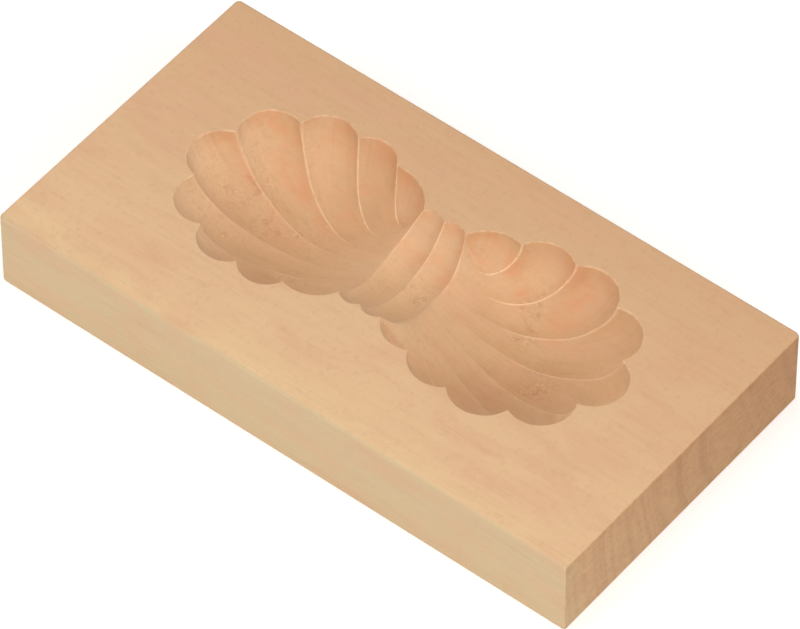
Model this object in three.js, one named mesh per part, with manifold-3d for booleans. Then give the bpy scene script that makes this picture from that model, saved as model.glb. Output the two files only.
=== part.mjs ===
// Speculaas mould: one board of pale wood with two tied, fluted fans sunk into its top face.
// Millimetres, +Z up. The origin is the middle of the underside, X runs along the board.
// Dough is pressed into the hollow and knocked out, so everything carved is concave.

import * as THREE from 'three';
import { mergeVertices } from 'three/addons/utils/BufferGeometryUtils.js';
import Module from 'manifold-3d';

// Board
const boardLength = 150;
const boardWidth = 79;
const boardThickness = 20;
const cornerRadius = 1.6; // upright corners, seen from above
const arrisRadius = 0.9; // softened edges round the top and the underside

// Place of the carving on the board
const motifX = -1.15; // middle crest of the tie
const motifY = 3.2; // axis that both fans share
const motifTurn = 0.55; // degrees, the carving sits very slightly askew

// Tie: two bands side by side, gouged across the axis
const tieHalfLength = 14.1; // from the axis to where a crest comes up to the top face
const bandWidth = 7.3; // one band, on the axis
const bandWidthAtRim = 5.5;
const bandNarrowing = 4; // the higher, the nearer the rim a band starts to narrow
const outerCrestDepth = 8.2; // crest between a band and its fan, on the axis
const middleCrestDepth = 8.7; // crest between the bands, on the axis
const bandHollow = 1.3; // floor of a band below the line between its crests

// Fans: the cusps between the lobes lie on an ellipse, and a ridge runs from each to the tie
const fluteCount = 9; // to a fan
const fanHalfLength = 25.0;
const fanHalfWidth = 21.1;
const leftFanReach = 25.8; // middle of the tie to the middle of the ellipse
const rightFanReach = 27.9;
const fanDrift = 0.4; // middle of the ellipse off the axis, away from the near side
const fanTurn = -1.6; // degrees, the tip of each fan leans to the near side
const lobeWidth = 14.6; // lobe on the axis, cusp to cusp
const leftLobeTaper = 0.859; // each lobe's share of the ellipse against the one before
const rightLobeTaper = 0.898;
const lobeRiseOnAxis = 6.0; // lobe beyond the line between its cusps
const lobeRiseAtTie = 2.3;
const leftRidgeBend = 0.22; // sag of a ridge towards the axis, as a share of its length
const rightRidgeBend = 0.11;
const bowlDepth = 15.3; // deepest ridge
const bowlPeak = 0.49; // where along a ridge it is deepest, from the tie to the rim
const easeAtTie = 0.8; // 0 drops steeply from the tie, 1 in an even S-curve
const wallRoundness = 0.64; // 0.5 makes the wall of the bowl a quarter ellipse
const bowlTaper = 0.62; // how fast the bowl grows shallower away from the axis
const fluteRelief = 1.0; // floor of a flute below its ridges, where they are reliefSpan apart
const reliefAtTie = 0.4; // share of the relief that is left where the flutes run out
const reliefSpan = 10;
const fullestCut = 0.95; // of a half circle, so that no gouge cut undercuts its own edges

// Fineness of the faceted model
const facetsAcrossFlute = 8;
const facetsAlongFloor = 6;
const facetsUpWall = 9;
const facetsAcrossBand = 6;
const cornerFacets = 4;
const cutterHeadroom = 2; // the cutter stands this far out of the board

const woodColour = 0xe2bc92;

const lastRidge = fluteCount / 2;
const topFace = boardThickness;

const lerp = (a, b, t) => a + (b - a) * t;
const clamp01 = (t) => Math.min(1, Math.max(0, t));

// Depth of a round crest that spans the tie, at a distance from the axis
function crestDepth(depthOnAxis, across) {
  const radius = (tieHalfLength ** 2 + depthOnAxis ** 2) / (2 * depthOnAxis);
  return Math.sqrt(Math.max(0, radius ** 2 - across ** 2)) - (radius - depthOnAxis);
}

// Height of a round gouge cut over its chord, at u from -1 to 1 across it
function gougeArc(halfChord, rise, u) {
  const height = Math.min(rise, fullestCut * halfChord);
  if (height <= 0) return 0;
  const radius = (halfChord ** 2 + height ** 2) / (2 * height);
  return Math.sqrt(radius ** 2 - (halfChord * u) ** 2) - (radius - height);
}

// Where the meridian numbered ridge leaves the tie: 0 is the axis, lastRidge the end of the tie
function tieEdge(ridge) {
  const share = ridge / lastRidge;
  const across = tieHalfLength * share;
  const along = lerp(bandWidth, bandWidthAtRim, share ** bandNarrowing);
  return new THREE.Vector3(along, across, -crestDepth(outerCrestDepth, across));
}

// One fan, opening towards +X from the middle of the tie, with the top face at Z = 0
class Fan {
  constructor(reach, taper, ridgeBend) {
    this.reach = reach;
    this.ridgeBend = ridgeBend;
    this.cuspAngles = this.stepOffCusps(taper);
  }

  // Ellipse angles of the cusps on one side of the axis; the last lobe takes what is left
  stepOffCusps(taper) {
    const startsOnAxis = fluteCount % 2 === 0;
    const firstShare = 2 * Math.asin(lobeWidth / 2 / fanHalfWidth);
    const angles = new Map();
    let angle = startsOnAxis ? 0 : firstShare / 2;
    let share = firstShare;
    for (let ridge = startsOnAxis ? 0 : 0.5; ridge < lastRidge; ridge += 1) {
      angles.set(ridge, angle);
      if (!startsOnAxis || ridge > 0) share *= taper;
      angle += share;
    }
    return angles;
  }

  cusp(ridge) {
    const side = Math.sign(ridge) || 1;
    const beside = Math.abs(ridge);
    if (beside >= lastRidge) {
      return new THREE.Vector2(bandWidthAtRim, side * tieHalfLength);
    }
    const angle = this.cuspAngles.get(beside);
    const middle = new THREE.Vector2(this.reach, fanDrift);
    return new THREE.Vector2(fanHalfLength * Math.cos(angle), side * fanHalfWidth * Math.sin(angle))
      .add(middle)
      .rotateAround(middle, THREE.MathUtils.degToRad(fanTurn));
  }

  // Point of the plain bowl on meridian number m, at t from the tie (0) to the rim (1)
  bowl(m, t) {
    const below = Math.min(Math.floor(m + lastRidge), fluteCount - 1) - lastRidge;
    const rim = this.cusp(below).lerp(this.cusp(below + 1), m - below);
    const start = tieEdge(m);
    const side = new THREE.Vector2(rim.x - start.x, rim.y - start.y);
    const heading = Math.atan2(rim.y, rim.x - bandWidth);
    const sag = this.ridgeBend * Math.sin(2 * heading);
    const control = new THREE.Vector2(
      start.x + side.x / 2 + sag * side.y,
      start.y + side.y / 2 - sag * side.x,
    );
    const route = new THREE.QuadraticBezierCurve(new THREE.Vector2(start.x, start.y), control, rim);
    const plan = route.getPoint(t);
    const deepest = bowlDepth * Math.max(0, 1 - (m / lastRidge) ** 2) ** bowlTaper;
    const toPeak = clamp01((bowlPeak - t) / bowlPeak);
    const ramp = toPeak ** 2 * (1 + easeAtTie * (1 - toPeak));
    const depth = deepest * this.wallShare(t) - (deepest + start.z) * ramp;
    return new THREE.Vector3(plan.x, plan.y, -depth);
  }

  // 1 on the floor, falling to 0 up the wall at the rim
  wallShare(t) {
    const up = clamp01((t - bowlPeak) / (1 - bowlPeak));
    return Math.max(0, 1 - up ** 2) ** wallRoundness;
  }

  // Point of the carved surface in a flute, at u from -1 to 1 across it
  carved(flute, u, t) {
    const fromRidge = this.bowl(flute - 0.5, t);
    const toRidge = this.bowl(flute + 0.5, t);
    const halfChord = fromRidge.distanceTo(toRidge) / 2;
    const onFloor = this.wallShare(t);
    const runOut = lerp(reliefAtTie, 1, clamp01(t / bowlPeak));
    const floorRise = fluteRelief * runOut * (2 * halfChord / reliefSpan) ** 2;
    const outermost = (fluteCount - 1) / 2;
    const lobeRise = lerp(lobeRiseOnAxis, lobeRiseAtTie, Math.abs(flute) / outermost);
    const swell = gougeArc(halfChord, lerp(lobeRise, floorRise, onFloor), u);
    // The gouge works level at the rim and straight down on the floor
    const chord = this.cusp(flute + 0.5).sub(this.cusp(flute - 0.5)).normalize();
    const plunge = (Math.PI / 2) * onFloor;
    const point = this.bowl(flute + u / 2, t);
    point.x += swell * Math.cos(plunge) * chord.y;
    point.y -= swell * Math.cos(plunge) * chord.x;
    point.z -= swell * Math.sin(plunge);
    return point;
  }
}

// Point in the right-hand band at share s from the middle crest (0) to the outer one (1)
function bandPoint(ridge, s) {
  const outer = tieEdge(ridge);
  const middle = new THREE.Vector3(0, outer.y, -crestDepth(middleCrestDepth, outer.y));
  const point = middle.clone().lerp(outer, s);
  const swell = gougeArc(middle.distanceTo(outer) / 2, bandHollow, 2 * s - 1);
  const plunge = (Math.PI / 2) * (-middle.z / middleCrestDepth);
  point.y += Math.sign(ridge) * swell * Math.cos(plunge);
  point.z -= swell * Math.sin(plunge);
  return point;
}

// Stations across a fan: flute number and u, evenly spaced round the arc of each lobe
function acrossStations() {
  const stations = [];
  for (let i = 0; i < fluteCount; i += 1) {
    const flute = i - (fluteCount - 1) / 2;
    const first = i === 0 ? 0 : 1;
    for (let k = first; k <= facetsAcrossFlute; k += 1) {
      stations.push({ flute, u: Math.sin(Math.PI * (k / facetsAcrossFlute - 0.5)) });
    }
  }
  return stations;
}

// Stations along a ridge: even on the floor, and closer together as the wall gets steep
function alongStations() {
  const stations = [];
  for (let k = 1; k <= facetsAlongFloor; k += 1) {
    stations.push(bowlPeak * k / facetsAlongFloor);
  }
  for (let k = 1; k <= facetsUpWall; k += 1) {
    stations.push(lerp(bowlPeak, 1, Math.sin(Math.PI / 2 * k / facetsUpWall)));
  }
  return stations;
}

// The whole carving as rows of points, from the tip of the left fan to the tip of the right
function carvingRows() {
  const across = acrossStations();
  const along = alongStations();
  const meridian = ({ flute, u }) => flute + u / 2;
  const fanRow = (fan, t) => across.map(({ flute, u }) => fan.carved(flute, u, t));
  const bandRow = (s) => across.map((station) => bandPoint(meridian(station), s));
  const mirrored = (row) => row.map((p) => new THREE.Vector3(-p.x, p.y, p.z));
  const halfRows = (fan) => {
    const rows = [];
    for (let k = 1; k <= facetsAcrossBand; k += 1) rows.push(bandRow(k / facetsAcrossBand));
    for (const t of along) rows.push(fanRow(fan, t));
    return rows;
  };
  const leftFan = new Fan(leftFanReach, leftLobeTaper, leftRidgeBend);
  const rightFan = new Fan(rightFanReach, rightLobeTaper, rightRidgeBend);
  const left = halfRows(leftFan).map(mirrored).reverse();
  const right = halfRows(rightFan);
  return [...left, bandRow(0), ...right];
}

// Rim of the carving as one loop, anticlockwise from above, starting at the left end of the tie
function rimLoop(rows) {
  const last = rows[0].length - 1;
  const nearSide = rows.map((row) => row[0]);
  const farSide = rows.map((row) => row[last]).reverse();
  const loop = [...nearSide, ...rows[rows.length - 1].slice(1, -1), ...farSide];
  loop.push(...rows[0].slice(1, -1).reverse());
  return loop.filter((p, i) => p.distanceTo(loop[(i + 1) % loop.length]) > 1e-6);
}

// Closed solid of everything that the gouge takes out: carved sheet, upright collar and flat lid
function carvingCutter() {
  const rows = carvingRows();
  const corners = [];
  const face = (a, b, c) => {
    for (const p of [a, b, c]) corners.push(p.x, p.y, p.z);
  };
  for (let i = 0; i + 1 < rows.length; i += 1) {
    for (let k = 0; k + 1 < rows[i].length; k += 1) {
      face(rows[i][k], rows[i][k + 1], rows[i + 1][k + 1]);
      face(rows[i][k], rows[i + 1][k + 1], rows[i + 1][k]);
    }
  }
  const rim = rimLoop(rows);
  const lid = rim.map((p) => new THREE.Vector3(p.x, p.y, cutterHeadroom));
  for (let i = 0; i < rim.length; i += 1) {
    const next = (i + 1) % rim.length;
    face(rim[i], rim[next], lid[next]);
    face(rim[i], lid[next], lid[i]);
  }
  const lidPlan = lid.map((p) => new THREE.Vector2(p.x, p.y));
  for (const [a, b, c] of THREE.ShapeUtils.triangulateShape(lidPlan, [])) {
    face(lid[a], lid[b], lid[c]);
  }
  const cutter = new THREE.BufferGeometry();
  cutter.setAttribute('position', new THREE.Float32BufferAttribute(corners, 3));
  cutter.rotateZ(THREE.MathUtils.degToRad(motifTurn));
  cutter.translate(motifX, motifY, topFace);
  return cutter;
}

// Plain board with softened edges, its underside at Z = 0
function boardBlank() {
  const x = boardLength / 2 - arrisRadius;
  const y = boardWidth / 2 - arrisRadius;
  const r = Math.max(0.1, cornerRadius - arrisRadius);
  const outline = new THREE.Shape();
  outline.absarc(x - r, y - r, r, 0, Math.PI / 2);
  outline.absarc(-x + r, y - r, r, Math.PI / 2, Math.PI);
  outline.absarc(-x + r, -y + r, r, Math.PI, 1.5 * Math.PI);
  outline.absarc(x - r, -y + r, r, 1.5 * Math.PI, 2 * Math.PI);
  const blank = new THREE.ExtrudeGeometry(outline, {
    depth: boardThickness - 2 * arrisRadius,
    bevelThickness: arrisRadius,
    bevelSize: arrisRadius,
    bevelSegments: cornerFacets,
    curveSegments: cornerFacets,
  });
  blank.translate(0, 0, arrisRadius);
  return blank;
}

const wasm = await Module();
wasm.setup();

// Closed mesh with merged corners as a solid for cutting
function toSolid(geometry) {
  const bare = geometry.clone();
  bare.deleteAttribute('normal');
  bare.deleteAttribute('uv');
  const merged = mergeVertices(bare, 1e-4);
  const index = merged.index.array;
  const triangles = [];
  for (let i = 0; i < index.length; i += 3) {
    const [a, b, c] = index.slice(i, i + 3);
    if (a !== b && b !== c && c !== a) triangles.push(a, b, c);
  }
  return new wasm.Manifold(new wasm.Mesh({
    numProp: 3,
    vertProperties: merged.attributes.position.array,
    triVerts: new Uint32Array(triangles),
  }));
}

function toGeometry(solid) {
  const mesh = solid.getMesh();
  const geometry = new THREE.BufferGeometry();
  geometry.setAttribute('position', new THREE.BufferAttribute(mesh.vertProperties, 3));
  geometry.setIndex(new THREE.BufferAttribute(mesh.triVerts, 1));
  geometry.computeVertexNormals();
  return geometry;
}

const carvedBoard = toSolid(boardBlank()).subtract(toSolid(carvingCutter()));
const wood = new THREE.MeshStandardMaterial({ color: woodColour, roughness: 0.62, metalness: 0 });
const mouldBlock = new THREE.Mesh(toGeometry(carvedBoard), wood);
mouldBlock.name = 'mould_block';

const mould = new THREE.Group();
mould.name = 'speculaas_mould';
mould.add(mouldBlock);

export default mould;
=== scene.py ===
# %% [markdown]
# # Speculaas mould
# A hand mould for large spiced biscuits is one board of pale beech with a picture sunk into its
# top face. Dough is pressed into the hollow, trimmed flush and knocked out, so every form is
# concave: two fluted fans, tied at the waist by two bands. One board is one piece here too.
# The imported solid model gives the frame; its hollow is coarse, so the carving is cut again, finer.

# %% Load the frame
import math
import bmesh
import bpy
from mathutils import Euler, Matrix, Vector


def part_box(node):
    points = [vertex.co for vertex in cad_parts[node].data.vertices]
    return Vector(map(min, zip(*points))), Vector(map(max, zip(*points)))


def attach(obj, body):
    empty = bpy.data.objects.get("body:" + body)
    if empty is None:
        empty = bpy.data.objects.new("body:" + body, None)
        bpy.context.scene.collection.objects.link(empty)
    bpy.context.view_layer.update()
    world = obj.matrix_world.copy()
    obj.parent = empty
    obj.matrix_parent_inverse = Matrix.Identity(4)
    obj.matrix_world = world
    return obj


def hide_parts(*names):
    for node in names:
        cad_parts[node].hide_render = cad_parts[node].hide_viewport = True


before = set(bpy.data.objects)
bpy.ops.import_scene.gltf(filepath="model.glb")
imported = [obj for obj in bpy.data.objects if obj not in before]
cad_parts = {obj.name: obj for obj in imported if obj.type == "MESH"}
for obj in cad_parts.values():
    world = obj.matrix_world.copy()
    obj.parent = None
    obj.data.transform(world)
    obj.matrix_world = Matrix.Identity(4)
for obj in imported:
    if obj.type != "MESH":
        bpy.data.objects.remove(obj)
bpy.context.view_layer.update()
MM = 0.001
low, high = (Vector(corner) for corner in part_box("mould_block"))
print("board, mm:", [round(side / MM, 2) for side in high - low])

# %% [markdown]
# ## Building with nodes
# Both the carving and its finish are node trees. One function adds a node with its settings and
# its inputs, where an input is either a value or the socket that feeds it. Long formulas are hard
# to read as wiring, so Term lets Python arithmetic write them: each operator adds one Math node.


# %% Add a node, and write formulas with nodes
def add(tree, kind, inputs=None, **settings):
    """Add a node to a tree; inputs maps an input's name or number to a value or a socket."""
    node = tree.nodes.new(kind)
    for name, value in settings.items():
        setattr(node, name, value)
    for name, value in (inputs or {}).items():
        value = getattr(value, "socket", value)
        if isinstance(value, bpy.types.NodeSocket):
            tree.links.new(value, node.inputs[name])
        else:
            node.inputs[name].default_value = value
    return node


class Term:
    """One number in a node tree. Arithmetic on it adds Math nodes."""

    def __init__(self, socket):
        self.socket = socket

    def math(self, operation, *others):
        inputs = dict(enumerate((self, *others)))
        node = add(self.socket.id_data, "ShaderNodeMath", inputs, operation=operation)
        return Term(node.outputs[0])

    def __add__(self, other):
        return self.math("ADD", other)

    def __sub__(self, other):
        return self.math("SUBTRACT", other)

    def __mul__(self, other):
        return self.math("MULTIPLY", other)

    def __truediv__(self, other):
        return self.math("DIVIDE", other)

    def __pow__(self, other):
        return self.math("POWER", other)

    def __neg__(self):
        return self * -1.0

    def __abs__(self):
        return self.math("ABSOLUTE")

    def __rsub__(self, other):
        return -self + other

    __radd__ = __add__
    __rmul__ = __mul__


def sin(angle):
    return angle.math("SINE")


def cos(angle):
    return angle.math("COSINE")


def root(number):
    return number.math("MAXIMUM", 0.0).math("SQRT")


def clamp(number):
    return number.math("MAXIMUM", 0.0).math("MINIMUM", 1.0)


def blend(start, end, share):
    return start + (end - start) * share


# %% [markdown]
# ## The carving's sizes
# The cusps between a fan's lobes lie on an ellipse, and a ridge runs from each cusp down to the
# tie. These are the sizes that the solid model is built from, here in metres. Only the crests'
# softness and the tool's wander are added, because the solid model has neither.

# %% Sizes of the carving
SIZES = {
    "Tie half length": 14.1 * MM,
    "Band width": 7.3 * MM,
    "Band width at rim": 5.5 * MM,
    "Outer crest depth": 8.2 * MM,
    "Middle crest depth": 8.7 * MM,
    "Band hollow": 1.3 * MM,
    "Fan half length": 25.0 * MM,
    "Fan half width": 21.1 * MM,
    "Left fan reach": 25.8 * MM,
    "Right fan reach": 27.9 * MM,
    "Fan drift": 0.4 * MM,
    "Fan turn": math.radians(-1.6),
    "Lobe width": 14.6 * MM,
    "Left lobe taper": 0.859,
    "Right lobe taper": 0.898,
    "Lobe rise on axis": 6.0 * MM,
    "Lobe rise at tie": 2.3 * MM,
    "Left ridge bend": 0.22,
    "Right ridge bend": 0.11,
    "Bowl depth": 15.3 * MM,
    "Bowl peak": 0.49,
    "Ease at tie": 0.8,
    "Wall roundness": 0.64,
    "Bowl taper": 0.62,
    "Flute relief": 1.0 * MM,
    "Relief at tie": 0.4,
    "Relief span": 10.0 * MM,
    "Crest softness": 0.09 * MM,
    "Tool wander": 0.16 * MM,
    "Motif X": -1.15 * MM,
    "Motif Y": 3.2 * MM,
    "Motif turn": math.radians(0.55),
    "Top face": high.z,
}
FLUTES = 9
LAST_FLUTE = (FLUTES - 1) / 2
LAST_RIDGE = FLUTES / 2
# A gouge cut is never a full half circle, or it would undercut its own edges
FULLEST_CUT = 0.95
# Ridges are this much softer at the tie than up the walls, and softer for longer on the near side
WEAR_AT_TIE = 16.0
LONGER_WEAR = 0.5

CUTS_ACROSS_FLUTE = 28
ROWS_IN_BAND = 14
ROWS_ON_FLOOR = 22
ROWS_UP_WALL = 26

# %% [markdown]
# ## The carving as Geometry Nodes
# The hollow follows one rule from end to end, so it is made by nodes and not by hand. A flat grid
# has one column for each cut across the flutes and one row for each step from the tip of the left
# fan, through the tie, to the tip of the right fan. The tree then moves each point of the grid to
# where the gouge would have left it. Columns and rows crowd together at the crests and up the
# walls, where the surface turns fastest.

# %% Start the tree with a grid and its stations
tree = bpy.data.node_groups.new("Carved hollow", "GeometryNodeTree")
tree.interface.new_socket("Geometry", in_out="OUTPUT", socket_type="NodeSocketGeometry")
size_sockets = {
    name: tree.interface.new_socket(name, in_out="INPUT", socket_type="NodeSocketFloat")
    for name in SIZES
}
material_socket = tree.interface.new_socket(
    "Wood", in_out="INPUT", socket_type="NodeSocketMaterial")
inlet = tree.nodes.new("NodeGroupInput")
outlet = tree.nodes.new("NodeGroupOutput")
size = {name: Term(inlet.outputs[name]) for name in SIZES}

half_rows = ROWS_IN_BAND + ROWS_ON_FLOOR + ROWS_UP_WALL
columns = FLUTES * CUTS_ACROSS_FLUTE
grid = add(tree, "GeometryNodeMeshGrid", {
    "Size X": 2.0 * half_rows,
    "Size Y": float(columns),
    "Vertices X": 2 * half_rows + 1,
    "Vertices Y": columns + 1,
})
place = add(tree, "ShaderNodeSeparateXYZ", {0: add(tree, "GeometryNodeInputPosition").outputs[0]})
row = Term(place.outputs["X"]).math("ROUND")
column = (Term(place.outputs["Y"]) + columns / 2).math("ROUND")

# The flute that a column is in, from -4 to 4, and how far it is across it, from -1 to 1
flute_count = (column / CUTS_ACROSS_FLUTE).math("FLOOR").math("MINIMUM", FLUTES - 1.0)
flute = flute_count - LAST_FLUTE
column_in_flute = column - flute_count * CUTS_ACROSS_FLUTE
across = sin(column_in_flute * (math.pi / CUTS_ACROSS_FLUTE) - math.pi / 2)
meridian = flute + across / 2

# Steps from the middle of the tie: through a band, along the floor, and then up the wall
hand = row.math("GREATER_THAN", -0.5) * 2 - 1
steps = abs(row)
band_share = (1 - cos((steps / ROWS_IN_BAND).math("MINIMUM", 1.0) * math.pi)) / 2
floor_share = clamp((steps - ROWS_IN_BAND) / ROWS_ON_FLOOR)
wall_steps = (steps - (ROWS_IN_BAND + ROWS_ON_FLOOR)).math("MAXIMUM", 0.0)
wall_share = sin(wall_steps * (math.pi / 2 / ROWS_UP_WALL))
on_fan = steps.math("GREATER_THAN", ROWS_IN_BAND + 0.5)
travel = size["Bowl peak"] * floor_share + (1 - size["Bowl peak"]) * wall_share
print("grid:", columns + 1, "columns by", 2 * half_rows + 1, "rows")


# %% [markdown]
# The law of the cut has four parts. A crest of the tie is an arc of a circle. A gouge leaves a
# round hollow over the chord between two crests. A meridian runs from the tie over the floor of
# the bowl and up the wall to the rim. A flute is a gouge cut between two meridians. Crests have
# lost their edge to wear: a little up the walls, and most of it on the floor beside the tie.


# %% The law of the cut
def crest_depth(depth, distance):
    """Depth of a round crest across the tie, at a distance from the axis."""
    radius = (size["Tie half length"] ** 2.0 + depth ** 2.0) / (depth * 2)
    return root(radius ** 2.0 - distance * distance) - (radius - depth)


def gouge(half_chord, rise, share, wear=1.0):
    """Height of a round cut above its chord, with worn edges; share runs across it, -1 to 1."""
    softness = size["Crest softness"] * wear / half_chord.math("MAXIMUM", 0.1 * MM)
    inside = 1 - abs(share)
    worn = 1 - root(inside * inside + softness * softness)
    # No chord and no height is ever quite zero, because both are divided by
    height = rise.math("MINIMUM", half_chord * FULLEST_CUT).math("MAXIMUM", 0.001 * MM)
    radius = (half_chord ** 2.0 + height ** 2.0) / (height * 2)
    reach = half_chord * worn
    return root(radius ** 2.0 - reach * reach) - (radius - height)


def tie_edge(ridge):
    """Where a meridian leaves the tie."""
    share = ridge / LAST_RIDGE
    along = blend(size["Band width"], size["Band width at rim"], (share * share) ** 2.0)
    side = size["Tie half length"] * share
    return along, side, -crest_depth(size["Outer crest depth"], side)


on_right = hand.math("GREATER_THAN", 0.0)
reach = blend(size["Left fan reach"], size["Right fan reach"], on_right)
taper = blend(size["Left lobe taper"], size["Right lobe taper"], on_right)
bend = blend(size["Left ridge bend"], size["Right ridge bend"], on_right)
# Angle that the lobe on the axis takes of the ellipse
first_share = (size["Lobe width"] / size["Fan half width"] / 2).math("ARCSINE") * 2


def cusp(ridge):
    """Point on the rim between two lobes; the lobes' shares of the ellipse shrink steadily."""
    side = ridge.math("SIGN")
    lobes = abs(ridge) - 0.5
    angle = first_share / 2 + first_share * taper * (1 - taper ** lobes) / (1 - taper)
    x = size["Fan half length"] * cos(angle)
    y = size["Fan half width"] * sin(angle) * side
    turn = size["Fan turn"]
    cusp_x = reach + x * cos(turn) - y * sin(turn)
    cusp_y = size["Fan drift"] + x * sin(turn) + y * cos(turn)
    # The last ridge on each side has no cusp, and ends at a corner of the tie
    at_tie = abs(ridge).math("GREATER_THAN", LAST_RIDGE - 0.25)
    return (
        blend(cusp_x, size["Band width at rim"], at_tie),
        blend(cusp_y, size["Tie half length"] * side, at_tie),
    )


on_floor = root(1 - wall_share * wall_share) ** (size["Wall roundness"] * 2)


def bowl(ridge, rim):
    """Point of the plain bowl on a meridian that ends at a point of the rim."""
    x, y, z = tie_edge(ridge)
    run, rise = rim[0] - x, rim[1] - y
    heading = rim[1].math("ARCTAN2", rim[0] - size["Band width"])
    sag = bend * sin(heading * 2)
    control = (x + run / 2 + sag * rise, y + rise / 2 - sag * run)
    rest = 1 - travel
    plan = [
        rest * rest * start + rest * travel * pull * 2 + travel * travel * end
        for start, pull, end in zip((x, y), control, rim)
    ]
    share = ridge / LAST_RIDGE
    deepest = size["Bowl depth"] * (1 - share * share).math("MAXIMUM", 0.0) ** size["Bowl taper"]
    to_peak = clamp((size["Bowl peak"] - travel) / size["Bowl peak"])
    ramp = to_peak * to_peak * (1 + size["Ease at tie"] * (1 - to_peak))
    return plan[0], plan[1], (deepest + z) * ramp - deepest * on_floor


# %% Cut a fan
near_cusp, far_cusp = cusp(flute - 0.5), cusp(flute + 0.5)
chord = [far - near for near, far in zip(near_cusp, far_cusp)]
chord_length = root(chord[0] * chord[0] + chord[1] * chord[1])
rim_point = [near + part * (across + 1) / 2 for near, part in zip(near_cusp, chord)]
near_ridge, far_ridge = bowl(flute - 0.5, near_cusp), bowl(flute + 0.5, far_cusp)
gaps = [far - near for near, far in zip(near_ridge, far_ridge)]
flute_half = root(gaps[0] * gaps[0] + gaps[1] * gaps[1] + gaps[2] * gaps[2]) / 2
run_out = blend(size["Relief at tie"], 1.0, clamp(travel / size["Bowl peak"]))
floor_rise = size["Flute relief"] * run_out * (flute_half * 2 / size["Relief span"]) ** 2.0
lobe_rise = blend(size["Lobe rise on axis"], size["Lobe rise at tie"], abs(flute) / LAST_FLUTE)
# The outermost meridians are no more than the two corners of the tie, where nothing is cut
not_corner = abs(meridian).math("LESS_THAN", LAST_RIDGE - 1e-4)
on_near_side = clamp(-meridian / 2)
worn_length = size["Bowl peak"] * (1 + on_near_side * LONGER_WEAR)
wear = blend(WEAR_AT_TIE, 1.0, clamp(travel / worn_length))
swell = gouge(flute_half, blend(lobe_rise, floor_rise, on_floor), across, wear) * not_corner
plunge = on_floor * (math.pi / 2)
plain = bowl(meridian, rim_point)
fan_point = (
    plain[0] + swell * cos(plunge) * chord[1] / chord_length,
    plain[1] - swell * cos(plunge) * chord[0] / chord_length,
    plain[2] - swell * sin(plunge),
)

# %% Cut a band
edge = tie_edge(meridian)
middle_depth = crest_depth(size["Middle crest depth"], edge[1])
drop = edge[2] + middle_depth
band_half = root(edge[0] * edge[0] + drop * drop) / 2
band_swell = gouge(band_half, size["Band hollow"], band_share * 2 - 1)
band_plunge = middle_depth / size["Middle crest depth"] * (math.pi / 2)
band_point = (
    edge[0] * band_share,
    edge[1] + meridian.math("SIGN") * band_swell * cos(band_plunge),
    drop * band_share - middle_depth - band_swell * sin(band_plunge),
)

# %% [markdown]
# The wood's finish depends on how it was cut, so two marks are stored on the points: how pale a
# crest is, partly from wear and partly as a painted highlight, and where the point lies in its own
# gouge stroke. They are stored before the points move, because the rule reads rows and columns from
# the flat grid. The crests are palest up the far walls, which face the lamps, and die out on the
# floor on their way to the tie.

# %% Mark the crests and the strokes
CREST_WIDTH = 0.26 * MM
CREST_STARTS = 0.24
FAN_CREST_NEAR, FAN_CREST_FAR = 0.3, 0.95
BAND_CREST_NEAR, BAND_CREST_FAR = 0.1, 0.5

fan_inside = (1 - abs(across)) * flute_half
band_inside = (1 - abs(band_share * 2 - 1)) * band_half
on_crest = clamp(1 - blend(band_inside, fan_inside, on_fan) / CREST_WIDTH)
# A crest's paleness is wear and a painted highlight, strongest on each fan's far side, whose walls
# face the lamps
on_far_side = clamp(meridian / 3)
fan_crest_wear_highlight = blend(FAN_CREST_NEAR, FAN_CREST_FAR, on_far_side) * clamp((travel - CREST_STARTS) * 4)
band_crest_wear_highlight = blend(BAND_CREST_NEAR, BAND_CREST_FAR, on_far_side)
crest = on_crest * blend(band_crest_wear_highlight, fan_crest_wear_highlight, on_fan)
marked = add(tree, "GeometryNodeStoreNamedAttribute", {
    "Geometry": grid.outputs["Mesh"],
    "Name": "crest",
    "Value": crest,
}, data_type="FLOAT", domain="POINT")

# X is across the stroke and Y along it, in metres, and Z is 1 wherever the wood is carved. Each
# stroke has a number that keeps its pattern apart from the next: -7 and 7 for the two bands, -24
# to -16 for the left fan's flutes and 16 to 24 for the right fan's.
BAND_NUMBER, FAN_NUMBER = 7, 20
STROKE_SPACING = 40 * MM
STROKE_LENGTH = 30 * MM

stroke_number = blend(hand * BAND_NUMBER, flute + hand * FAN_NUMBER, on_fan)
stroke_across = blend(band_half * (band_share * 2 - 1), flute_half * across, on_fan)
stroke = add(tree, "ShaderNodeCombineXYZ", {
    "X": stroke_across + stroke_number * STROKE_SPACING,
    "Y": blend(edge[1], travel * STROKE_LENGTH, on_fan),
    "Z": 1.0,
})
stroked = add(tree, "GeometryNodeStoreNamedAttribute", {
    "Geometry": marked.outputs["Geometry"],
    "Name": "stroke",
    "Value": stroke.outputs[0],
}, data_type="FLOAT_VECTOR", domain="POINT")

# %% [markdown]
# A hand never keeps quite to the rule. A soft noise lets the gouge wander by a sixth of a
# millimetre, and fades out at the rim, so that the top face stays flat.

# %% Place the points on the board
WANDER_LENGTH = 9 * MM
WANDER_FADES_OVER = 2.5 * MM
# Noise keeps within about a quarter of its middle value, so four times that is the full wander
NOISE_TO_WANDER = 4

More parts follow.
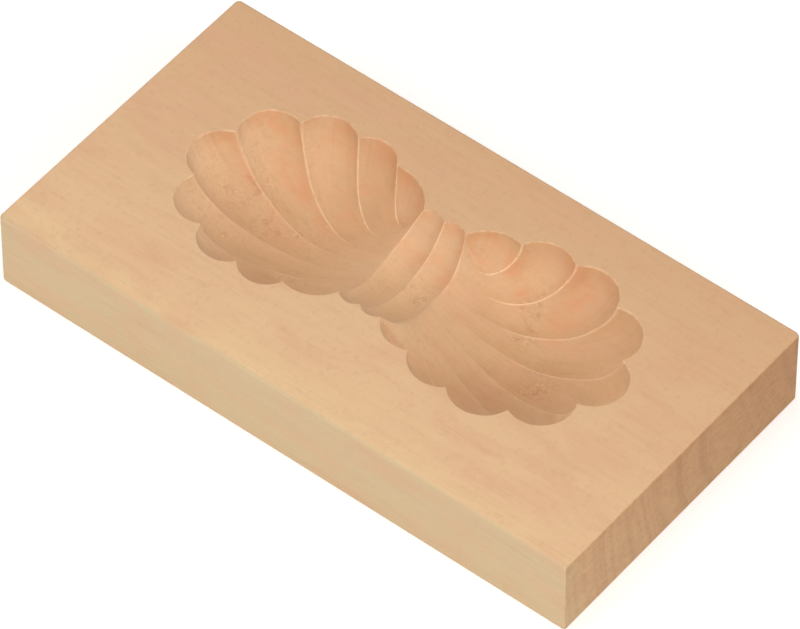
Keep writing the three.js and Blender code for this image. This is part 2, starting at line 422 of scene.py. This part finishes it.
x, y, z = [blend(band, fan, on_fan) for band, fan in zip(band_point, fan_point)]
x = x * hand
turn = size["Motif turn"]
placed = add(tree, "ShaderNodeCombineXYZ", {
    "X": size["Motif X"] + x * cos(turn) - y * sin(turn),
    "Y": size["Motif Y"] + x * sin(turn) + y * cos(turn),
    "Z": size["Top face"] + z,
})
wander = add(tree, "ShaderNodeTexNoise", {
    "Vector": placed.outputs[0],
    "Scale": 1 / WANDER_LENGTH,
    "Detail": 3.0,
    "Roughness": 0.45,
})
below_rim = clamp(-z / WANDER_FADES_OVER)
push = add(tree, "ShaderNodeVectorMath", {
    0: wander.outputs["Color"],
    1: (0.5, 0.5, 0.5),
}, operation="SUBTRACT")
push = add(tree, "ShaderNodeVectorMath", {
    0: push.outputs[0],
    "Scale": size["Tool wander"] * below_rim * NOISE_TO_WANDER,
}, operation="SCALE")
moved = add(tree, "ShaderNodeVectorMath", {
    0: placed.outputs[0],
    1: push.outputs[0],
}, operation="ADD")
cut_sheet = add(tree, "GeometryNodeSetPosition", {
    "Geometry": stroked.outputs["Geometry"],
    "Position": moved.outputs[0],
})
# The grid's outermost columns fall together in the tie's corners, and are merged there
merged = add(tree, "GeometryNodeMergeByDistance", {
    "Geometry": cut_sheet.outputs["Geometry"],
    "Distance": 0.004 * MM,
})
real = add(tree, "GeometryNodeRealizeInstances", {"Geometry": merged.outputs["Geometry"]})
finished = add(tree, "GeometryNodeSetMaterial", {
    "Geometry": real.outputs["Geometry"],
    "Material": inlet.outputs["Wood"],
})
tree.links.new(finished.outputs["Geometry"], outlet.inputs["Geometry"])
print("nodes in the carving's tree:", len(tree.nodes))

# %% Evaluate the tree once and keep a plain mesh
beech = bpy.data.materials.new("gouged beech")
sheet_object = bpy.data.objects.new("carved_hollow", bpy.data.meshes.new("carved_hollow"))
bpy.context.scene.collection.objects.link(sheet_object)
carver = sheet_object.modifiers.new("Carve", "NODES")
carver.node_group = tree
for name, value in SIZES.items():
    carver[size_sockets[name].identifier] = value
carver[material_socket.identifier] = beech
evaluated = sheet_object.evaluated_get(bpy.context.evaluated_depsgraph_get())
sheet = bpy.data.meshes.new_from_object(evaluated)
bpy.data.objects.remove(sheet_object)
print("carved sheet:", len(sheet.vertices), "points,", len(sheet.polygons), "faces, deepest",
      round((high.z - min(v.co.z for v in sheet.vertices)) / MM, 2), "mm")

# %% [markdown]
# ## The board round the carving
# The rest of the board is flat faces and small round edges. The rim of the carved sheet is
# rounded over first, then the top face is filled between the rim and the board's outline, and
# loops of the outline go down the side and under. The crisp points between the lobes get less
# rounding, because a gouge leaves them sharp. The board's corners were eased by hand, each a
# little differently, where the solid model has one radius for all four.

# %% Sizes of the board's edges
# The corners go round from +X +Y to -X +Y, -X -Y and +X -Y
CORNER_SIGNS = [(1, 1), (-1, 1), (-1, -1), (1, -1)]
CORNER_RADII = [1.5 * MM, 1.2 * MM, 1.4 * MM, 0.45 * MM]
LEAST_CORNER = 0.05 * MM
TOP_ARRIS = 0.75 * MM
BOTTOM_ARRIS = 0.35 * MM
RIM_RADIUS = 0.28 * MM
CORNER_STEPS = 7
ARRIS_STEPS = 5
RIM_STEPS = 3


def outline(inset):
    """The board's outline from above, as one loop of points, drawn in by an inset."""
    points = []
    for quarter, (sign_x, sign_y) in enumerate(CORNER_SIGNS):
        radius = max(CORNER_RADII[quarter] - inset, LEAST_CORNER)
        centre_x = sign_x * (high.x - inset - radius)
        centre_y = sign_y * (high.y - inset - radius)
        for step in range(CORNER_STEPS + 1):
            angle = math.pi / 2 * (quarter + step / CORNER_STEPS)
            x, y = radius * math.cos(angle), radius * math.sin(angle)
            points.append((centre_x + x, centre_y + y))
    return points


def bridge(mesh, upper, lower):
    """Join two loops of the same number of points by a band of quads."""
    for i in range(len(upper)):
        j = (i + 1) % len(upper)
        mesh.faces.new([upper[i], upper[j], lower[j], lower[i]])


# %% Find the rim of the sheet, in order
board = bmesh.new()
board.from_mesh(sheet)
bmesh.ops.dissolve_degenerate(board, dist=0.001 * MM, edges=board.edges)
board.verts.index_update()
neighbours = {}
rim_edges = [e for e in board.edges if e.is_boundary]
for edge_here in rim_edges:
    one, other = (v.index for v in edge_here.verts)
    neighbours.setdefault(one, []).append(other)
    neighbours.setdefault(other, []).append(one)
assert all(len(pair) == 2 for pair in neighbours.values()), "the rim is not one plain loop"
first = min(neighbours)
order = [first, neighbours[first][0]]
for _ in range(len(neighbours) - 2):
    one, other = neighbours[order[-1]]
    order.append(other if one == order[-2] else one)
board.verts.ensure_lookup_table()
rim = [board.verts[i] for i in order]
area = sum(a.co.x * b.co.y - b.co.x * a.co.y for a, b in zip(rim, rim[1:] + rim[:1])) / 2
if area < 0:
    rim.reverse()
print("rim:", len(rim), "points of", len(rim_edges), "boundary edges, area",
      round(abs(area) / MM ** 2), "mm2")

# %% Round the rim over
# A point between lobes turns the rim by more than this, in radians, and gets the least rounding
POINT_TURN = 0.35
LEAST_ROUNDING = 0.04 * MM


def plan_normal(i):
    """Direction from the hollow into the wood at a point of the rim, and how sharply it turns."""
    here = rim[i].co
    before = (here - rim[i - 1].co).to_2d()
    after = (rim[(i + 1) % len(rim)].co - here).to_2d()
    along = before.normalized() + after.normalized()
    outward = Vector((along.y, -along.x)).normalized()
    return outward, before.angle_signed(after)


along_rim = [0.0]
for i in range(1, len(rim)):
    along_rim.append(along_rim[-1] + (rim[i].co - rim[i - 1].co).length)
rim_length = along_rim[-1] + (rim[0].co - rim[-1].co).length
outwards, turns = zip(*(plan_normal(i) for i in range(len(rim))))
points_between = [along_rim[i] for i, turn_here in enumerate(turns) if turn_here > POINT_TURN]
print("points between lobes:", len(points_between))

radii = []
for i, vertex in enumerate(rim):
    gaps_along = [abs(along_rim[i] - other) for other in points_between]
    to_point = min(min(gap, rim_length - gap) for gap in gaps_along)
    inner = [e.other_vert(vertex) for e in vertex.link_edges if not e.is_boundary]
    first_step_down = max((high.z - v.co.z for v in inner), default=0.0)
    radii.append(min(RIM_RADIUS, LEAST_ROUNDING + to_point * 0.5, 0.6 * first_step_down))

# A new point copies the marks of the one it is given, so the rounding counts as carved, all but
# its last ring, which belongs to the top face
rings = [rim]
for step in range(1, RIM_STEPS + 1):
    angle = math.pi / 2 * step / RIM_STEPS
    ring = []
    for vertex, outward, radius in zip(rim, outwards, radii):
        shift = outward * radius * (1 - math.cos(angle))
        height = high.z - radius + radius * math.sin(angle)
        place_on_ring = (vertex.co.x + shift.x, vertex.co.y + shift.y, height)
        marked_like = [vertex] if step < RIM_STEPS else []
        ring.append(board.verts.new(place_on_ring, *marked_like))
    rings.append(ring)
for vertex, radius in zip(rim, radii):
    vertex.co.z = high.z - radius
for lower, upper in zip(rings, rings[1:]):
    bridge(board, upper, lower)

# %% Add the top face, the rounded edges, the sides and the underside
arris = []
for step in range(ARRIS_STEPS + 1):
    angle = math.pi / 2 * step / ARRIS_STEPS
    arris.append((1 - math.sin(angle), 1 - math.cos(angle)))
levels = [(TOP_ARRIS * inward, high.z - TOP_ARRIS * down) for inward, down in arris]
arris.reverse()
levels += [(BOTTOM_ARRIS * inward, low.z + BOTTOM_ARRIS * down) for inward, down in arris]
loops = [[board.verts.new((x, y, height)) for x, y in outline(inset)] for inset, height in levels]
for upper, lower in zip(loops, loops[1:]):
    bridge(board, upper, lower)
board.faces.new(reversed(loops[-1]))
top_edges = []
for loop in (rings[-1], loops[0]):
    for i, vertex in enumerate(loop):
        pair = (vertex, loop[(i + 1) % len(loop)])
        top_edges.append(board.edges.get(pair) or board.edges.new(pair))
bmesh.ops.triangle_fill(board, edges=top_edges, normal=(0, 0, 1), use_beauty=True)
bmesh.ops.recalc_face_normals(board, faces=board.faces)
open_edges = sum(1 for e in board.edges if not e.is_manifold)
print("volume, cm3:", round(board.calc_volume(signed=True) * 1e6, 2), "open edges:", open_edges)

mould_mesh = bpy.data.meshes.new("mould")
for face in board.faces:
    face.material_index = 0
    face.smooth = True
board.to_mesh(mould_mesh)
board.free()
mould_mesh.materials.append(beech)
mould = bpy.data.objects.new("mould", mould_mesh)
bpy.context.scene.collection.objects.link(mould)

# Flat faces keep their own direction, and the small round edges shade into them, because each
# face counts by its area, and all but alone at a weight of 100
steady = mould.modifiers.new("Steady flats", "WEIGHTED_NORMAL")
steady.mode = "FACE_AREA"
steady.weight = 100
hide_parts("mould_block")
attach(mould, "root")
print("mould:", len(mould_mesh.vertices), "points,", len(mould_mesh.polygons), "faces")

# %% [markdown]
# ## Steamed beech
# Beech is pale and close-grained, and steaming turns it from straw to a soft pinkish tan. The
# faces were planed and the hollow was cut by gouges, then a little oil and much handling left a
# satin that lies between raw wood and varnish. Three things show: the yearly rings, the rays,
# which are thin sheets that run out from the heart of the tree, and the fibres. The material
# works in the tree's own space: the heart lay beyond the far side of this board, so the rings
# stand upright in the end and run straight along the top. One pattern in space then fits every
# face and every slope of the carving. Noise is stretched along the fibres by giving it less of X.


# %% Colours
def srgb(code):
    """A linear colour from an sRGB hex value."""
    channels = [int(code[i:i + 2], 16) / 255 for i in (1, 3, 5)]
    linear = [c / 12.92 if c <= 0.04045 else ((c + 0.055) / 1.055) ** 2.4 for c in channels]
    return (*linear, 1.0)


# %% Rings
HEART_Y, HEART_Z = 66 * MM, 23 * MM
RING_WIDTH = 3.1 * MM
STEM_TAPER = 0.014
BEND_LENGTH, BEND_REACH = 24 * MM, 5 * MM
GOOD_YEARS_LENGTH, YEARS_VARY = 11 * MM, 2.4
BAND_OF_YEARS = 4.5 * MM

beech.use_nodes = True
wood = beech.node_tree
wood.nodes.clear()
spot = add(wood, "ShaderNodeTexCoord")
where = add(wood, "ShaderNodeSeparateXYZ", {0: spot.outputs["Object"]})
along, aside, up = (Term(socket) for socket in where.outputs)

slow = add(wood, "ShaderNodeCombineXYZ", {"X": along * 0.2, "Y": aside, "Z": up})
stem_bend = Term(add(wood, "ShaderNodeTexNoise", {
    "Vector": slow.outputs[0],
    "Scale": 1 / BEND_LENGTH,
    "Detail": 2.0,
}).outputs["Fac"])
from_heart = root((aside - HEART_Y) ** 2.0 + (up - HEART_Z) ** 2.0) + along * STEM_TAPER
from_heart = from_heart + (stem_bend - 0.5) * BEND_REACH
good_years = Term(add(wood, "ShaderNodeTexNoise", {
    "W": from_heart,
    "Scale": 1 / GOOD_YEARS_LENGTH,
    "Detail": 1.0,
}, noise_dimensions="1D").outputs["Fac"])
year = from_heart / RING_WIDTH + good_years * YEARS_VARY
season = year.math("FRACT")
# The wood darkens slowly towards the end of a year and turns pale at once, some years more
strength = Term(add(wood, "ShaderNodeTexWhiteNoise", {
    "W": year.math("FLOOR"),
}, noise_dimensions="1D").outputs["Value"])
late_wood = season ** 4.0 * clamp((1 - season) * 9) * (0.25 + strength * 0.75)
year_tone = Term(add(wood, "ShaderNodeTexNoise", {
    "W": from_heart,
    "Scale": 1 / BAND_OF_YEARS,
    "Detail": 3.0,
    "Roughness": 0.6,
}, noise_dimensions="1D").outputs["Fac"])
dark_years = clamp((year_tone - 0.48) * 4)

# %% Fibres, rays and mottle
# A real fibre is a fiftieth of a millimetre wide and a ray a tenth, but a pixel of the render
# covers a fifth, so both are drawn as coarse as they need to be to show
FIBRE_WIDTH = 0.7 * MM
STREAK_WIDTH = 2.6 * MM
RAY_WIDTH = 0.9 * MM
END_RAY_WIDTH = 0.6 * MM
MOTTLE_WIDTH = 8 * MM

fibre_space = add(wood, "ShaderNodeCombineXYZ", {"X": along * 0.035, "Y": aside, "Z": up})
fibres = Term(add(wood, "ShaderNodeTexNoise", {
    "Vector": fibre_space.outputs[0],
    "Scale": 1 / FIBRE_WIDTH,
    "Detail": 3.0,
    "Roughness": 0.6,
}).outputs["Fac"])
streak_space = add(wood, "ShaderNodeCombineXYZ", {"X": along * 0.2, "Y": aside, "Z": up})
streaks = Term(add(wood, "ShaderNodeTexNoise", {
    "Vector": streak_space.outputs[0],
    "Scale": 1 / STREAK_WIDTH,
    "Detail": 3.0,
    "Roughness": 0.6,
    "Distortion": 0.3,
}).outputs["Fac"])
ray_space = add(wood, "ShaderNodeCombineXYZ", {"X": along * 0.8, "Y": aside * 0.6, "Z": up * 2.5})
ray_noise = Term(add(wood, "ShaderNodeTexNoise", {
    "Vector": ray_space.outputs[0],
    "Scale": 1 / RAY_WIDTH,
    "Detail": 2.0,
    "Roughness": 0.5,
}).outputs["Fac"])
rays = clamp((ray_noise - 0.56) * 7)
end_ray_space = add(wood, "ShaderNodeCombineXYZ", {"Y": aside * 0.15, "Z": up})
end_rays = Term(add(wood, "ShaderNodeTexNoise", {
    "Vector": end_ray_space.outputs[0],
    "Scale": 1 / END_RAY_WIDTH,
    "Detail": 3.0,
    "Roughness": 0.65,
}).outputs["Fac"])
mottle_space = add(wood, "ShaderNodeCombineXYZ", {"X": along * 0.45, "Y": aside, "Z": up})
mottle = Term(add(wood, "ShaderNodeTexNoise", {
    "Vector": mottle_space.outputs[0],
    "Scale": 1 / MOTTLE_WIDTH,
    "Detail": 3.0,
    "Roughness": 0.55,
    "Distortion": 0.6,
}).outputs["Fac"])

# %% [markdown]
# Each face shows the tree from another side. Across the ends the fibres stand open and drink oil
# and hand grease, so end grain is darker and redder than side grain. The wood is a little redder
# towards the heart, and the near edge of the board reaches the greyer sapwood under the bark.
# The direction that the surface faces tells the ends from the sides, and in the hollow the
# steep walls from the floor.

# %% What each place of the board shows
HEARTWOOD_UP_TO, HEARTWOOD_FADES_OVER = 24 * MM, 84 * MM
BARK_EDGE_LENGTH, BARK_EDGE_REACH = 9 * MM, 9 * MM
BARK_SLANT = 0.045
PALE_FROM, PALE_FADES_OVER = 98 * MM, 11 * MM
SAPWOOD_FROM, SAPWOOD_FADES_OVER = 105.5 * MM, 6 * MM
MORE_ON_FRONT, MORE_ON_ENDS = 8 * MM, 7 * MM

facing = add(wood, "ShaderNodeSeparateXYZ", {0: spot.outputs["Normal"]})
# All side grain until the surface turns to within 63 degrees of X, all end grain within 25
end_grain = clamp((abs(Term(facing.outputs["X"])) - 0.45) * 2.2)
facing_near = clamp(-Term(facing.outputs["Y"]) * 2.0)
facing_far = clamp(Term(facing.outputs["Y"]) * 2.0)
steep = clamp((1 - Term(facing.outputs["Z"])) * 2.0)
outward = clamp((from_heart - HEARTWOOD_UP_TO) / HEARTWOOD_FADES_OVER)
edge_noise = Term(add(wood, "ShaderNodeTexNoise", {
    "Vector": slow.outputs[0],
    "Scale": 1 / BARK_EDGE_LENGTH,
    "Detail": 2.0,
}).outputs["Fac"])
to_bark = from_heart - along * BARK_SLANT + (edge_noise - 0.5) * BARK_EDGE_REACH
shown = to_bark + facing_near * MORE_ON_FRONT + end_grain * MORE_ON_ENDS
sapwood = clamp((shown - SAPWOOD_FROM) / SAPWOOD_FADES_OVER)
paler = clamp((to_bark - PALE_FROM) / PALE_FADES_OVER)

# %% [markdown]
# The hollow is the worked part. The gouge leaves fine lines along each stroke, and the crests and
# the rim are pale, partly worn and partly a painted highlight where their edges catch the light.
# The floor takes a slightly darker, pinker tint, and the steep walls are mixed paler, most where
# they face away from the lamps, which is painted fill light; rosy clouds lie up the far walls, and
# two soft patches of the hollow are made darker. Where a stroke met the grain the wrong way the
# fibres tore, which leaves small rough patches: darker where the pores stand open, and flecked
# with pale ends of fibres. Each patch is a place and a radius, made ragged by noise. Gouge lines
# and torn fibres are drawn coarser than real ones, so that they show.

# %% What the gouge left
LINE_WIDTH = 0.9 * MM
SHRED_WIDTH = 0.7 * MM
BLOTCH_WIDTH = 1.7 * MM
CLOUD_WIDTH = 8 * MM
RIM_LINE_FROM, RIM_LINE_FADES_OVER = 0.45 * MM, 0.2 * MM
PATCH_EDGE, PATCH_RAGGEDNESS, PATCH_STEEPNESS = 1.4, 3.5, 0.9
# X, Y and radius of each patch, in millimetres
TORN = [
    (-47, 1.5, 4), (-44.5, 9, 4), (-38, 5, 4.5), (-30.5, 5.5, 4), (-27.5, 10.5, 3.5),
    (-42, -6, 4), (-24, -5, 3), (2, 4, 3), (20.5, 18.5, 3.5), (25, 12.5, 3), (33, 3, 4),
]
# Two more patches, listed the same way, where the hollow is made darker
DARKER_PATCHES = [(30, -2, 12), (-23, 21, 7)]

mark = add(wood, "ShaderNodeSeparateXYZ", {
    0: add(wood, "ShaderNodeAttribute", attribute_name="stroke").outputs["Vector"],
})
across_stroke, along_stroke, carved = (Term(socket) for socket in mark.outputs)
crest_wear_and_highlight = Term(add(wood, "ShaderNodeAttribute", attribute_name="crest").outputs["Fac"])
line_space = add(wood, "ShaderNodeCombineXYZ", {"X": across_stroke, "Y": along_stroke * 0.07})
gouge_lines = Term(add(wood, "ShaderNodeTexNoise", {
    "Vector": line_space.outputs[0],
    "Scale": 1 / LINE_WIDTH,
    "Detail": 2.0,
}).outputs["Fac"])
shred = Term(add(wood, "ShaderNodeTexNoise", {
    "Vector": spot.outputs["Object"],
    "Scale": 1 / SHRED_WIDTH,
    "Detail": 2.0,
    "Roughness": 0.7,
}).outputs["Fac"])
blotch = Term(add(wood, "ShaderNodeTexNoise", {
    "Vector": spot.outputs["Object"],
    "Scale": 1 / BLOTCH_WIDTH,
    "Detail": 3.0,
    "Roughness": 0.65,
}).outputs["Fac"])
clouds = Term(add(wood, "ShaderNodeTexNoise", {
    "Vector": spot.outputs["Object"],
    "Scale": 1 / CLOUD_WIDTH,
    "Detail": 3.0,
    "Roughness": 0.6,
}).outputs["Fac"])


def patches(places):
    """How far a place lies inside any of some soft, ragged patches, seen from above."""
    share = carved * 0.0
    for x_mm, y_mm, radius_mm in places:
        distance = root((along - x_mm * MM) ** 2.0 + (aside - y_mm * MM) ** 2.0)
        ragged = distance / (radius_mm * MM) + (clouds - 0.5) * PATCH_RAGGEDNESS
        share = share.math("MAXIMUM", clamp((PATCH_EDGE - ragged) * PATCH_STEEPNESS))
    return share * carved


torn = patches(TORN)
darker_patches = patches(DARKER_PATCHES)
torn_dark = torn * clamp((blotch - 0.5) * 6)
torn_pale = torn * clamp((shred - 0.54) * 8) * clamp((blotch - 0.35) * 5)
below_top = high.z - up
# The rim's rounding is painted pale, partly for wear and partly as a painted highlight
rim_wear_and_highlight = clamp((RIM_LINE_FROM - below_top) / RIM_LINE_FADES_OVER) * clamp(carved * 2)

# %% Where the carving is tinted, painted paler or rosy
ROSY_UP_TO_X, ROSY_ENDS_OVER = 42 * MM, 12 * MM
ROSY_FROM_Y, ROSY_STARTS_OVER = -2 * MM, 8 * MM

# Steep walls are mixed paler, less where they face the lamps: painted fill light. The rest of the
# hollow takes a darker, pinker tint.
pale_wall_fill_light = carved * steep * (1 - facing_near * 0.6)
floor_tint = carved - pale_wall_fill_light
rosy_along = clamp((ROSY_UP_TO_X - along) / ROSY_ENDS_OVER)
rosy_aside = clamp((aside - ROSY_FROM_Y) / ROSY_STARTS_OVER)
rosy = carved * facing_near * clamp((clouds - 0.47) * 6) * rosy_along * rosy_aside
end_face = end_grain * (1 - carved)

# %% Put the layers of colour on each other
SIDE_GRAIN_AT_HEART = "#d9ac80"
SIDE_GRAIN_AT_BARK = "#e9c093"
# Each layer is how much of it lies on a place, its colour, and how it goes on those below it
LAYERS = [
    # The tree: pale outer wood, sapwood, pinker clouds, rings, streaks, rays and fibres
    (paler * 0.8, "#edca98", "MIX"),
    (sapwood, "#d4b98f", "MIX"),
    (clamp((mottle - 0.44) * 4) * 0.45, "#dfa984", "MIX"),
    (late_wood * clamp((mottle - 0.3) * 3) * (0.12 + end_grain * 0.35), "#b5855a", "MIX"),
    (clamp((streaks - 0.5) * 3) * (0.2 + end_grain * 0.15), "#c08a60", "MIX"),
    (rays * (0.1 + end_grain * 0.15), "#b17f58", "MIX"),
    (clamp((fibres - 0.5) * 3) * (0.12 + end_grain * 0.33), "#bd875c", "MIX"),
    # Dark years and open rays, which only the ends show
    (dark_years * end_face * 0.25, "#a97a54", "MIX"),
    (clamp((end_rays - 0.5) * 5) * end_face * (1 - outward * 0.8) * 0.4, "#9c6c48", "MIX"),
    # The hollow: a darker, pinker floor, painted fill light on steep walls, rosy clouds, darker
    # patches
    (floor_tint, "#f9f5ef", "MULTIPLY"),
    # Painted fill light: steep walls paler, most where they face +Y, away from the lamps
    (pale_wall_fill_light * (0.2 + facing_far * 0.16), "#efd9b8", "MIX"),
    (rosy * 0.42, "#e29668", "MIX"),
    # Two soft patches of the hollow made darker
    (darker_patches * 0.6, "#f3ede4", "MULTIPLY"),
    # The ends drink oil: less in the sapwood, more towards the heart and the handled top
    (end_face * (1 - sapwood * 0.35), "#dfdfdb", "MULTIPLY"),
    (end_face * (1 - outward), "#f5eadd", "MULTIPLY"),
    (end_face * clamp(up / high.z), "#f8eee4", "MULTIPLY"),
    # The tool: gouge lines and torn fibres; the crests and the rim, pale from wear and from a
    # painted highlight
    (clamp((gouge_lines - 0.52) * 5) * carved * 0.1, "#b07a56", "MIX"),
    (torn_dark * 0.33, "#b4704a", "MIX"),
    (torn_pale * 0.5, "#f5caa0", "MIX"),
    # Crests: worn wood and a painted highlight
    (crest_wear_and_highlight * blend(0.45, 1.0, clamp((blotch - 0.35) * 6)), "#ffdcb4", "MIX"),
    # Rim: worn wood and a painted highlight
    (rim_wear_and_highlight * clamp((blotch - 0.4) * 5) * 0.4, "#fbd8b0", "MIX"),
]
colour = add(wood, "ShaderNodeMix", {
    0: outward,
    6: srgb(SIDE_GRAIN_AT_HEART),
    7: srgb(SIDE_GRAIN_AT_BARK),
}, data_type="RGBA").outputs[2]
for share, code, blend_type in LAYERS:
    colour = add(wood, "ShaderNodeMix", {0: share, 6: colour, 7: srgb(code)},
                 data_type="RGBA", blend_type=blend_type).outputs[2]

# %% Surface
# Heights in millimetres: fibres a fiftieth, gouge lines a twenty-fifth, torn places a seventh
relief = (fibres * 0.02 + rays * 0.012 - late_wood * 0.01
          + carved * gouge_lines * 0.04 + torn * shred * 0.15)
bumps = add(wood, "ShaderNodeBump", {"Height": relief, "Distance": MM})
# Handled wood has a satin gloss, less of it on open end grain, and the index of dried oil
SATIN = 0.5
OILED_WOOD_IOR = 1.5
roughness = SATIN + fibres * 0.12 + end_grain * 0.12 + torn * 0.1
surface = add(wood, "ShaderNodeBsdfPrincipled", {
    "Base Color": colour,
    "Roughness": roughness,
    "IOR": OILED_WOOD_IOR,
    "Normal": bumps.outputs["Normal"],
})
add(wood, "ShaderNodeOutputMaterial", {"Surface": surface.outputs["BSDF"]})
print("nodes in the wood:", len(wood.nodes))

# %% [markdown]
# ## The picture
# The board lies on a roll of matt white paper, lit until it loses its edge. The paper's own
# colour lights the board from below as plain paper does. Only to the camera, and in reflections,
# does it glow a little, so that the ground comes out white without more light on the board. It
# lies a fiftieth of a millimetre down, because two faces at one height show through each other.

# %% Floor
FLOOR_SIZE = 6.0
FLOOR_GAP = 0.02 * MM
PAPER_GLOW = 0.35

floor_paint = bpy.data.materials.new("white paper")
floor_paint.use_nodes = True
paper = floor_paint.node_tree
paper.nodes.clear()
rays_of = add(paper, "ShaderNodeLightPath")
seen = Term(rays_of.outputs["Is Camera Ray"])
for kind in ("Is Glossy Ray", "Is Transmission Ray"):
    seen = seen.math("MAXIMUM", rays_of.outputs[kind])
paper_surface = add(paper, "ShaderNodeBsdfPrincipled", {
    "Base Color": srgb("#f4f2ee"),
    "Roughness": 0.9,
    "Emission Color": srgb("#ffffff"),
    "Emission Strength": seen * PAPER_GLOW,
})
add(paper, "ShaderNodeOutputMaterial", {"Surface": paper_surface.outputs["BSDF"]})
bpy.ops.mesh.primitive_plane_add(size=FLOOR_SIZE, location=(0, 0, -FLOOR_GAP))
floor = bpy.context.object
floor.name = "floor"
floor.data.materials.append(floor_paint)

# %% [markdown]
# The photograph was taken from well back with a long lens, so the board's far edges are hardly
# shorter than its near ones. The camera's turn, distance and lens were fitted to the board's
# corners.

# %% Camera
VIEW_AZIMUTH = math.radians(38.654)
VIEW_ELEVATION = math.radians(49.798)
LENS = 347.1
# Right, up and back from the frame's origin, in the camera's own directions
CAMERA_PLACE = Vector((0.62 * MM, 4.67 * MM, 1611 * MM))

camera_data = bpy.data.cameras.new("photo view")
camera_data.sensor_fit = "HORIZONTAL"
camera_data.sensor_width = 36.0
camera_data.lens = LENS
camera_data.clip_start = 0.05
camera_data.clip_end = 20.0
camera = bpy.data.objects.new("photo view", camera_data)
bpy.context.scene.collection.objects.link(camera)
camera.rotation_euler = Euler((math.pi / 2 - VIEW_ELEVATION, 0, VIEW_AZIMUTH))
camera.location = camera.rotation_euler.to_matrix() @ CAMERA_PLACE
bpy.context.scene.camera = camera
print("camera, mm:", [round(c / MM) for c in camera.location])

# %% [markdown]
# The shadows are so soft that the light came from all round. Five large soft boxes stand round
# the board and over it, most of them on the near side and the right, so that the hollow's far
# walls are the lightest and its near ones the darkest.

# %% Light
SKY_LEVEL = 0.17
LAMP_DISTANCE = 1.2
LAMP_WIDTH = 0.8
# Azimuth and elevation in degrees, and watts
LAMPS = {
    "right": (88, 27, 4.8),
    "near right": (45, 30, 4.6),
    "near left": (320, 28, 4.6),
    "left": (240, 25, 2.8),
    "top": (0, 86, 5.1),
}

scene = bpy.context.scene
scene.view_settings.view_transform = "Standard"
world = bpy.data.worlds.new("studio")
scene.world = world
world.use_nodes = True
sky = world.node_tree
sky.nodes.clear()
background = add(sky, "ShaderNodeBackground", {"Color": srgb("#ffffff"), "Strength": SKY_LEVEL})
add(sky, "ShaderNodeOutputWorld", {"Surface": background.outputs["Background"]})
for name, (azimuth, elevation, watts) in LAMPS.items():
    soft_box = bpy.data.lights.new(name, "AREA")
    soft_box.size = LAMP_WIDTH
    soft_box.energy = watts
    lamp = bpy.data.objects.new(name, soft_box)
    scene.collection.objects.link(lamp)
    lamp.rotation_euler = Euler((math.radians(90 - elevation), 0, math.radians(azimuth)))
    lamp.location = lamp.rotation_euler.to_matrix() @ Vector((0, 0, LAMP_DISTANCE))
print("lamps:", len(LAMPS))
